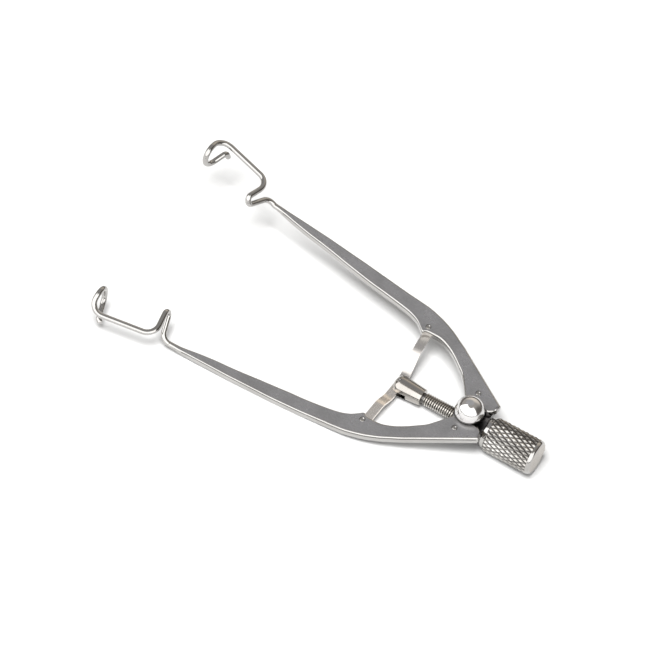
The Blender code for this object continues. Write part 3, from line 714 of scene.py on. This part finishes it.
def make_rod():
    """Thread cut as a helix, with the long flat, up to the undercut behind the fork."""
    flat_height = THREAD_RADIUS - FLAT_DEPTH
    flat_turn = math.radians(FLAT_ROLL_DEG)
    facets = 64
    rows_per_turn = 10
    start, end = SPINDLE_REAR, FORK_REAR - NECK_LENGTH
    rows = int((end - start) / THREAD_PITCH * rows_per_turn)
    bm = bmesh.new()
    rings = [[bm.verts.new((start, 0.0, 0.0))]]
    for i in range(rows + 1):
        x = start + (end - start) * i / rows
        ease = min(1.0, (x - start) / 0.25)
        ring = []
        for k in range(facets):
            turn = 2.0 * math.pi * k / facets
            phase = (x / THREAD_PITCH + turn / (2.0 * math.pi)) % 1.0
            groove = max(0.0, 1.0 - abs(2.0 * phase - 1.0) * 1.18)
            radius = THREAD_RADIUS - THREAD_DEPTH * min(1.0, groove * 1.1) - 0.2 * (1.0 - ease)
            # Angle measured from straight up; the flat is rolled to the right
            facing = math.cos(turn - flat_turn)
            if facing > 0.2:
                radius = min(radius, flat_height / facing)
            ring.append(bm.verts.new((x, -radius * math.sin(turn), radius * math.cos(turn))))
        rings.append(ring)
    for x in (end + 0.001, FORK_REAR + 0.3):
        rings.append([bm.verts.new((x, -NECK_RADIUS * math.sin(2.0 * math.pi * k / facets),
                                    NECK_RADIUS * math.cos(2.0 * math.pi * k / facets)))
                      for k in range(facets)])
    rings.append([bm.verts.new((FORK_REAR + 0.3, 0.0, 0.0))])
    join_rings(bm, rings)
    # Painted shade: the undercut behind the fork gets the dark steel
    for face in bm.faces:        # the undercut stays dark
        face.material_index = 1 if face.calc_center_median().x > end - 0.05 else 0
    rod = new_object("spindle_rod", bm)
    dress(rod, "spindle", (thread_steel, painted_shade_steel), ("spindle",), 30.0)


def make_fork():
    """Turned fork that narrows to the rear, slotted from its rounded nose."""
    rim = 0.1
    profile = [(FORK_REAR, 0.0), (FORK_REAR, FORK_REAR_RADIUS - rim)]
    profile += arc(FORK_REAR + rim, FORK_REAR_RADIUS - rim, rim, 180.0, 90.0, 4)[1:]
    profile += arc(FORK_TIP - FORK_ROUND, FORK_NOSE_RADIUS - FORK_ROUND, FORK_ROUND,
                   90.0, 0.0, 20)
    profile.append((FORK_TIP, 0.0))
    fork = new_object("spindle_fork", lathe(profile, "X", (0.0, 0.0), 128))
    slot_rear = PIN_X - FORK_SLOT_DEPTH
    boolean(fork, plate(((slot_rear, -5.0), (20.0, -5.0), (20.0, 5.0), (slot_rear, 5.0)),
                        -FORK_SLOT_HALF, FORK_SLOT_HALF))
    hole = FORK_PIN_RADIUS + 0.03
    boolean(fork, lathe([(-4.0, 0.0), (-4.0, hole), (4.0, hole), (4.0, 0.0)],
                        "Z", (PIN_X, 0.0), 40))
    bevel(fork, 0.06, 3, 40.0)
    dress(fork, "spindle", (fork_steel,), ("spindle",), 35.0)


# Thumb nut with a diamond knurl

def make_nut():
    """Knurled nut with a rounded rear edge, a plain nose, a journal and its bore."""
    facets = 432
    rows = 150
    rear_edge = 0.74             # length of the rounded edge of the rear face
    knurl_front, knurl_rear = NUT_FRONT - 0.95, NUT_REAR + rear_edge
    twist = math.tan(math.radians(KNURL_LEAN_DEG)) / NUT_RADIUS

    def trough(value):
        """0 in the middle of a groove, 1 on the ridges."""
        return min(1.0, abs(2.0 * (value % 1.0) - 1.0) * 1.08)

    bm = bmesh.new()
    rings = []

    def plain(x, radius):
        """Smooth ring, or the point that closes an end."""
        if radius == 0.0:
            rings.append([bm.verts.new((x, 0.0, 0.0))])
            return
        rings.append([bm.verts.new((x, radius * math.cos(2 * math.pi * k / facets),
                                    radius * math.sin(2 * math.pi * k / facets)))
                      for k in range(facets)])

    # Rear face, with its rounded edge
    plain(NUT_REAR, 0.0)
    for x, radius in ((NUT_REAR, 1.2), (NUT_REAR, 2.60), (NUT_REAR + 0.004, 2.84)):
        plain(x, radius)
    for k in range(9):
        turn = math.radians(90.0 * k / 8)
        plain(NUT_REAR + 0.02 + 0.72 * (1.0 - math.cos(turn)), 2.9 + 0.46 * math.sin(turn))
    for i in range(rows + 1):
        x = knurl_rear + (knurl_front - knurl_rear) * i / rows
        nose = max(0.0, (x - (NUT_FRONT - NUT_NOSE_LENGTH)) / NUT_NOSE_LENGTH)
        limit = NUT_RADIUS - 0.5 * nose
        ring = []
        for k in range(facets):
            turn = 2.0 * math.pi * k / facets
            one = trough(KNURL_STARTS * (turn + x * twist) / (2.0 * math.pi))
            two = trough(KNURL_STARTS * (turn - x * twist) / (2.0 * math.pi))
            # One set of grooves is cut less deep than the other
            ridge = min(0.15 + 0.85 * one, two)
            radius = min(limit, NUT_RADIUS - KNURL_DEPTH + KNURL_DEPTH * ridge)
            ring.append(bm.verts.new((x, radius * math.cos(turn), radius * math.sin(turn))))
        rings.append(ring)
    # Plain nose, then the journal and the bore
    plain(NUT_FRONT - 0.90, 3.08)
    plain(NUT_FRONT - 0.30, 3.00)
    for k in range(1, 5):
        turn = math.radians(90.0 * k / 4)
        plain(NUT_FRONT - 0.30 + 0.30 * math.sin(turn), 2.72 + 0.28 * math.cos(turn))
    spigot_end = NUT_FRONT + NUT_SPIGOT_LENGTH
    plain(NUT_FRONT, NUT_SPIGOT_RADIUS)
    plain(spigot_end - 0.05, NUT_SPIGOT_RADIUS)
    plain(spigot_end, NUT_SPIGOT_RADIUS - 0.05)
    plain(spigot_end, NUT_BORE_RADIUS)
    plain(NUT_BORE_END, NUT_BORE_RADIUS)
    plain(NUT_BORE_END, 0.0)
    join_rings(bm, rings)
    for face in bm.faces:
        x = face.calc_center_median().x
        face.material_index = 0 if knurl_rear < x < knurl_front else 1
        if x < NUT_REAR + 0.003:
            face.material_index = 2
    nut = new_object("thumb_nut_body", bm)
    dress(nut, "nut", (knurl_steel, polished, face_steel), ("thumb_nut",), 50.0)


# Hub and dome

def make_hub():
    """Plate under the arms with a barrel round the spindle and the nut's journal."""
    shoulder = PIVOT_PIN_RADIUS + HUB_PIVOT_WALL
    half = PIVOT_Y + shoulder
    rear, front = HUB_REAR + 0.15, HUB_FRONT - 0.15
    outline = ((rear, -HUB_TAIL_HALF_WIDTH), (-shoulder, -half), (front, -half),
               (front, half), (-shoulder, half), (rear, HUB_TAIL_HALF_WIDTH))
    bm = plate(outline, HUB_TOP - HUB_PLATE, HUB_TOP)
    corners = [e for e in bm.edges if abs(e.verts[0].co.z - e.verts[1].co.z) > 0.5]
    bmesh.ops.bevel(bm, geom=corners, offset=0.5, segments=8, profile=0.5,
                    affect="EDGES", clamp_overlap=True)
    hub = new_object("hub_body", bm)
    boolean(hub, lathe([(HUB_REAR, 0.0), (HUB_REAR, HUB_BARREL_RADIUS),
                        (HUB_FRONT, HUB_BARREL_RADIUS), (HUB_FRONT, 0.0)],
                       "X", (0.0, 0.0), 96), "UNION")
    boolean(hub, plate(((-20, -20), (20, -20), (20, 20), (-20, 20)), HUB_TOP, 20.0))
    seat, seat_end = NUT_SPIGOT_RADIUS + 0.05, NUT_FRONT + NUT_SPIGOT_LENGTH + 0.05
    boolean(hub, lathe([(-8.0, 0.0), (-8.0, seat), (seat_end, seat), (seat_end, HUB_BORE_RADIUS),
                        (4.0, HUB_BORE_RADIUS), (4.0, 0.0)], "X", (0.0, 0.0), 64))
    hole = PIVOT_PIN_RADIUS + 0.03
    for side in (1, -1):
        boolean(hub, lathe([(-1.0, 0.0), (-1.0, hole), (4.0, hole), (4.0, 0.0)],
                           "Z", (0.0, side * PIVOT_Y), 40))
    bevel(hub, 0.12, 3, 40.0)
    dress(hub, "hub", (shaded_hub_steel,), ("hub_block",), 35.0)


def make_dome():
    """Polished cap on its post."""
    rim = ARM_TOP + 0.15
    low = math.asin((rim - DOME_CENTER.z) / DOME_RADIUS)
    rim_radius = DOME_RADIUS * math.cos(low)
    profile = [(HUB_TOP - 0.1, 0.0), (HUB_TOP - 0.1, DOME_POST_RADIUS), (rim, DOME_POST_RADIUS),
               (rim, rim_radius - 0.06), (rim + 0.02, rim_radius - 0.02)]
    steps = 60
    for k in range(1, steps):
        turn = low + (0.5 * math.pi - low) * k / steps
        profile.append((DOME_CENTER.z + DOME_RADIUS * math.sin(turn),
                        DOME_RADIUS * math.cos(turn)))
    profile.append((DOME_CENTER.z + DOME_RADIUS, 0.0))
    bm = lathe(profile, "Z", (DOME_CENTER.x, 0.0), 128)
    # Painted shade: the post and the rim just above the arms get the dark steel
    for face in bm.faces:        # the post and the rim above the arms stay dark
        face.material_index = 1 if face.calc_center_median().z < DOME_PAINTED_SHADE_TOP else 0
    dome = new_object("dome_cap", bm)
    dress(dome, "hub", (cap_steel, painted_shade_steel), ("dome",), 40.0)


make_hub()
make_dome()
make_rod()
make_fork()
make_nut()
make_pin("fork_pin", PIN_X, 0.0, -FORK_PIN_HALF, FORK_PIN_HALF, FORK_PIN_RADIUS, "spindle",
         "clevis_pin")
for word, side in (("left", 1), ("right", -1)):
    make_arm(word, side)
    make_pin(word + "_pivot_end", 0.0, side * PIVOT_Y, HUB_TOP - HUB_PLATE, PIN_TOP,
             PIVOT_PIN_RADIUS, "hub", word + "_pivot_pin")
    make_rivet(word, side)
    make_link(word, side)


# Studio

# Light from all round, and patches of other light on it: direction in the frame, angles
# from it in degrees at which a patch starts to fade and is gone, colour
SKY_COLOR = (0.42, 0.40, 0.375)
SKY_PATCHES = (
    ((0.2, -1.0, 0.30), 18, 48, (0.86, 0.79, 0.70)),
    ((-1.0, -0.1, 0.15), 25, 55, (0.14, 0.13, 0.12)),
    ((0.33, -0.26, 0.92), 16, 34, (0.45, 0.45, 0.46)),
)

# Dark edge of the room just above the table
BAND_TOP_DEG = 20.0
BAND_COLOR = (0.16, 0.145, 0.13)

# Soft box on the camera's side, in degrees: azimuth and height range, softness of its rim
BOX_AZIMUTH = (15.0, 168.0)
BOX_HEIGHT = (5.0, 66.0)
BOX_FADE_DEG = 2.0
BOX_COLOR = (2.5, 2.5, 2.5)

FLOOR_HALF = 1.6                 # metres to each side

# Camera in instrument axes, found from the instrument's own edges in the photograph
CAMERA_LENS = 192.43
CAMERA_SENSOR = 36.0
CAMERA_SPOT = Vector((-155.92655, 276.23525, 562.42902))
CAMERA_RIGHT = Vector((-0.84582177, -0.53322737, -0.0159407))
CAMERA_DOWN = Vector((-0.45097981, 0.73068113, -0.51256443))
CAMERA_FORWARD = Vector((0.28496096, -0.42634922, -0.85850079))


def make_floor():
    bm = bmesh.new()
    bmesh.ops.create_grid(bm, x_segments=8, y_segments=8, size=FLOOR_HALF)
    mesh = bpy.data.meshes.new("floor")
    bm.to_mesh(mesh)
    bm.free()
    floor = bpy.data.objects.new("floor", mesh)
    bpy.context.scene.collection.objects.link(floor)
    material = bpy.data.materials.new("white_table")
    material.use_nodes = True
    tree = material.node_tree
    shader = tree.nodes["Principled BSDF"]
    shader.inputs["Roughness"].default_value = 0.6
    grain = node(tree, "ShaderNodeTexNoise", (-600, 0))
    grain.inputs["Scale"].default_value = 35.0
    tone = node(tree, "ShaderNodeMixRGB", (-300, 0))
    tone.inputs["Color1"].default_value = (0.33, 0.33, 0.328, 1.0)
    tone.inputs["Color2"].default_value = (0.35, 0.35, 0.35, 1.0)
    tree.links.new(grain.outputs["Fac"], tone.inputs["Fac"])
    tree.links.new(tone.outputs["Color"], shader.inputs["Base Color"])
    mesh.materials.append(material)


def sine(degrees):
    return math.sin(math.radians(degrees))


def smooth_step(tree, value, start, end, place):
    """Factor that eases from 0 at start to 1 at end; start may be the larger one."""
    step = node(tree, "ShaderNodeMapRange", place, interpolation_type="SMOOTHSTEP")
    step.inputs["From Min"].default_value = start
    step.inputs["From Max"].default_value = end
    tree.links.new(value, step.inputs["Value"])
    return step.outputs["Result"]


def paint_over(tree, light, factor, color, place):
    """Lay a colour over the light so far, by a factor."""
    mix = node(tree, "ShaderNodeMixRGB", place)
    mix.inputs["Color2"].default_value = (*color, 1.0)
    tree.links.new(factor, mix.inputs["Fac"])
    tree.links.new(light, mix.inputs["Color1"])
    return mix.outputs["Color"]


def make_sky():
    """Room and soft box, by direction: bright on the box's side, dim behind the nut."""
    world = bpy.data.worlds.new("studio")
    bpy.context.scene.world = world
    world.use_nodes = True
    tree = world.node_tree
    background = tree.nodes["Background"]
    direction = node(tree, "ShaderNodeTexCoord", (-1500, 0)).outputs["Generated"]
    split = node(tree, "ShaderNodeSeparateXYZ", (-1300, -300))
    tree.links.new(direction, split.inputs["Vector"])

    light = node(tree, "ShaderNodeRGB", (-1300, 300)).outputs[0]
    light.default_value = (*SKY_COLOR, 1.0)
    for i, (way, inner, outer, color) in enumerate(SKY_PATCHES, start=1):
        x = -1300 + 220 * i
        toward = node(tree, "ShaderNodeVectorMath", (x, 300), operation="DOT_PRODUCT")
        toward.inputs[1].default_value = Vector(way).normalized()
        tree.links.new(direction, toward.inputs[0])
        patch = smooth_step(tree, toward.outputs["Value"], math.cos(math.radians(outer)),
                            math.cos(math.radians(inner)), (x, 100))
        light = paint_over(tree, light, patch, color, (x, -100))

    height = split.outputs["Z"]
    band = smooth_step(tree, height, sine(BAND_TOP_DEG), sine(0.7 * BAND_TOP_DEG), (200, -400))
    light = paint_over(tree, light, band, BAND_COLOR, (400, 0))

    # The box fades out at its four sides
    azimuth = node(tree, "ShaderNodeMath", (-1100, -600), operation="ARCTAN2")
    tree.links.new(split.outputs["Y"], azimuth.inputs[0])
    tree.links.new(split.outputs["X"], azimuth.inputs[1])
    sides = []
    for value, limits, scale in ((azimuth.outputs["Value"], BOX_AZIMUTH, math.radians),
                                 (height, BOX_HEIGHT, sine)):
        for limit, way in zip(limits, (1.0, -1.0)):
            sides.append(smooth_step(tree, value, scale(limit - way * BOX_FADE_DEG),
                                     scale(limit + way * BOX_FADE_DEG),
                                     (-700, -600 - 250 * len(sides))))
    inside = sides[0]
    for side in sides[1:]:
        both = node(tree, "ShaderNodeMath", (-300, -600), operation="MULTIPLY")
        tree.links.new(inside, both.inputs[0])
        tree.links.new(side, both.inputs[1])
        inside = both.outputs["Value"]
    light = paint_over(tree, light, inside, BOX_COLOR, (600, 0))
    tree.links.new(light, background.inputs["Color"])
    background.inputs["Strength"].default_value = 1.0


def make_lamp(name, direction, distance, size, power):
    """Soft box aimed at the instrument; the direction is in instrument axes."""
    light = bpy.data.lights.new(name, "AREA")
    light.shape = "RECTANGLE"
    light.size, light.size_y = size
    light.energy = power
    lamp = bpy.data.objects.new(name, light)
    bpy.context.scene.collection.objects.link(lamp)
    aim = PLACE @ Vector((15.0, 0.0, 0.0))
    toward = (TURN @ Vector(direction)).normalized()
    lamp.location = aim + toward * distance
    lamp.rotation_mode = "QUATERNION"
    lamp.rotation_quaternion = (-toward).to_track_quat("-Z", "Y")
    lamp.visible_glossy = False


def make_camera():
    data = bpy.data.cameras.new("camera")
    data.sensor_width = CAMERA_SENSOR
    data.lens = CAMERA_LENS
    data.clip_start, data.clip_end = 0.01, 20.0
    camera = bpy.data.objects.new("camera", data)
    bpy.context.scene.collection.objects.link(camera)
    turn = TURN @ Matrix((CAMERA_RIGHT, -CAMERA_DOWN, -CAMERA_FORWARD)).transposed()
    camera.matrix_world = Matrix.Translation(PLACE @ CAMERA_SPOT) @ turn.to_4x4()
    bpy.context.scene.camera = camera


make_floor()
make_sky()
make_lamp("key", (-0.03, 0.19, 1.0), 0.7, (0.27, 0.27), 14.5)
make_camera()
bpy.context.scene.view_settings.view_transform = "Standard"
